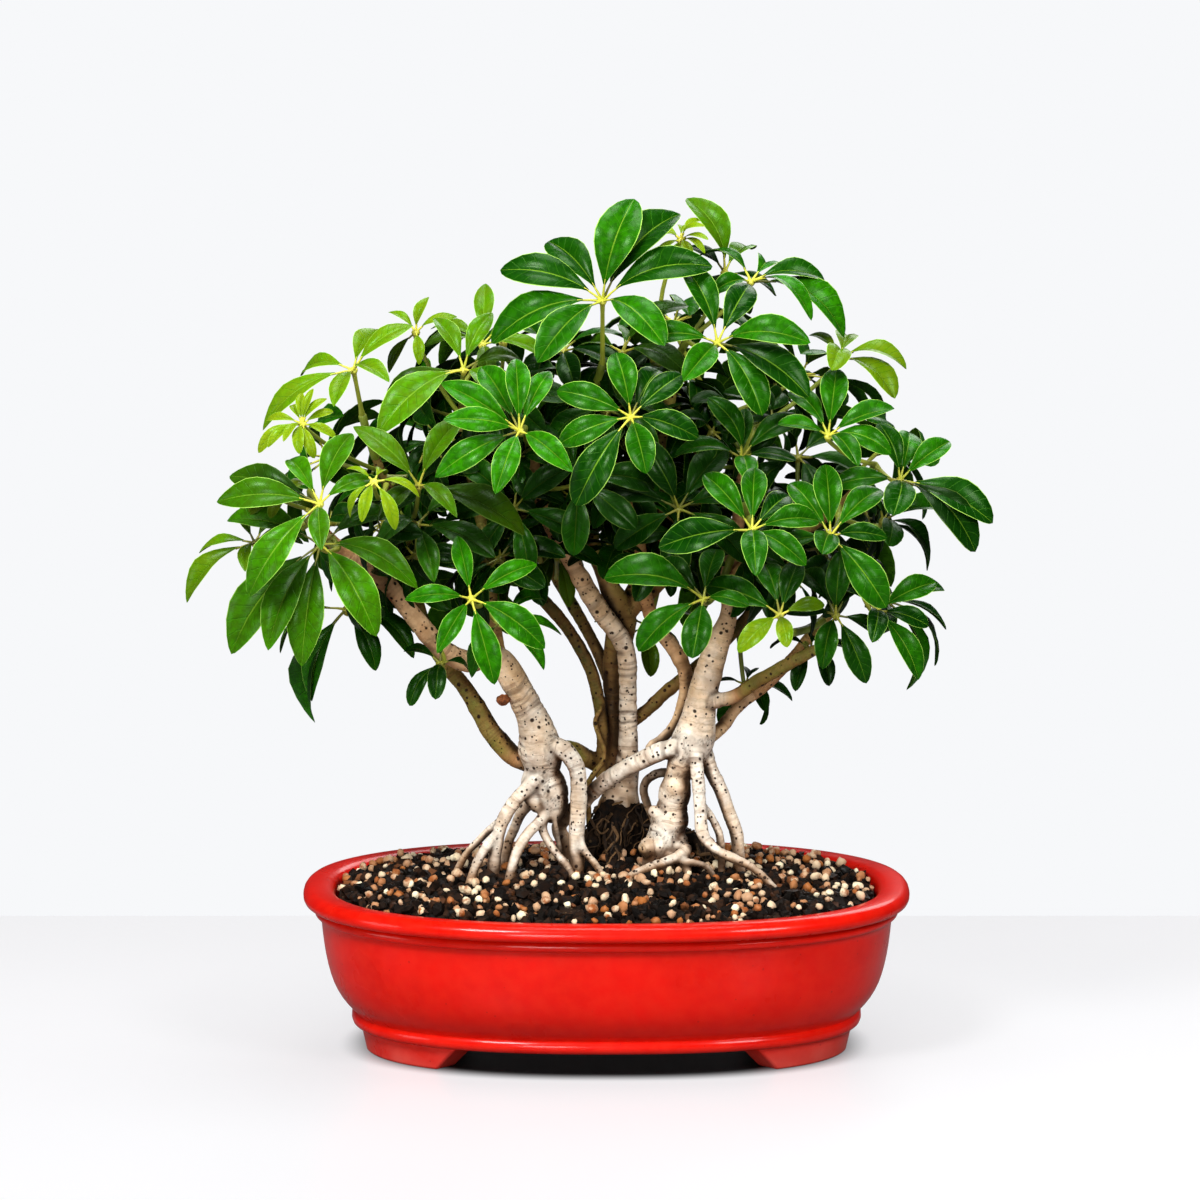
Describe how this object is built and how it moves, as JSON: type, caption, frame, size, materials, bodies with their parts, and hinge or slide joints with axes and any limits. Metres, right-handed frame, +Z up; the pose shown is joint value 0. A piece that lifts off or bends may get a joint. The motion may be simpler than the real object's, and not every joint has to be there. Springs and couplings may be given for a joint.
{
  "type": "umbrella tree bonsai",
  "caption": "Bonsai of dwarf umbrella trees with prop roots and whorls of glossy leaflets, standing in gritty soil in a red glazed oval pot on bracket feet.",
  "frame": {"origin": "on the ground, under the middle of the whole plant's box", "axes": "+Z up, X along the pot's long side, the front of the tree at -Y"},
  "size_m": [0.4016, 0.2714, 0.4343],
  "materials": {
    "red_glaze": "satin red glaze",
    "grit": "loose dark grit with pale pebbles",
    "screen": "black plastic net",
    "bark": "pale bark with brown lenticels",
    "leaf": "glossy green leaf",
    "young_leaf": "glossy lime green leaf"
  },
  "bodies": {
    "root": {"drain_screen_left": "screen", "drain_screen_right": "screen", "pot": "red_glaze", "shoot_back_far_left": "leaf", "shoot_back_far_right": "leaf", "shoot_back_left": "leaf", "shoot_back_low_left": "leaf", "shoot_back_low_right": "leaf", "shoot_back_mid": "leaf", "shoot_back_right": "leaf", "shoot_core_far_left": "leaf", "shoot_core_far_right": "leaf", "shoot_core_left": "leaf", "shoot_core_low": "leaf", "shoot_core_mid": "leaf", "shoot_core_right": "leaf", "shoot_crown_left": "leaf", "shoot_face_left": "leaf", "shoot_face_right": "leaf", "shoot_inner_left": "leaf", "shoot_left_face": "leaf", "shoot_left_low": "leaf", "shoot_left_tip": "leaf", "shoot_left_under": "leaf", "shoot_low_left_face": "leaf", "shoot_low_right": "leaf", "shoot_mid_left": "leaf", "shoot_mid_low_right": "leaf", "shoot_pale_left": "leaf", "shoot_pale_mid": "leaf", "shoot_right_end": "leaf", "shoot_right_face": "leaf", "shoot_right_inner": "leaf", "shoot_right_low_end": "leaf", "shoot_right_mid": "leaf", "shoot_right_outer": "leaf", "shoot_right_shade": "leaf", "shoot_right_top": "leaf", "shoot_top": "leaf", "shoot_twig_leaf": "leaf", "shoot_upper_left": "leaf", "shoot_upper_right": "leaf", "shoot_young_crown": "young_leaf", "shoot_young_droop": "young_leaf", "shoot_young_edge": "young_leaf", "shoot_young_left": "young_leaf", "shoot_young_shade": "young_leaf", "soil": "grit", "tree_centre": "bark", "tree_left": "bark", "tree_right": "bark"}
  },
  "joints": []
}
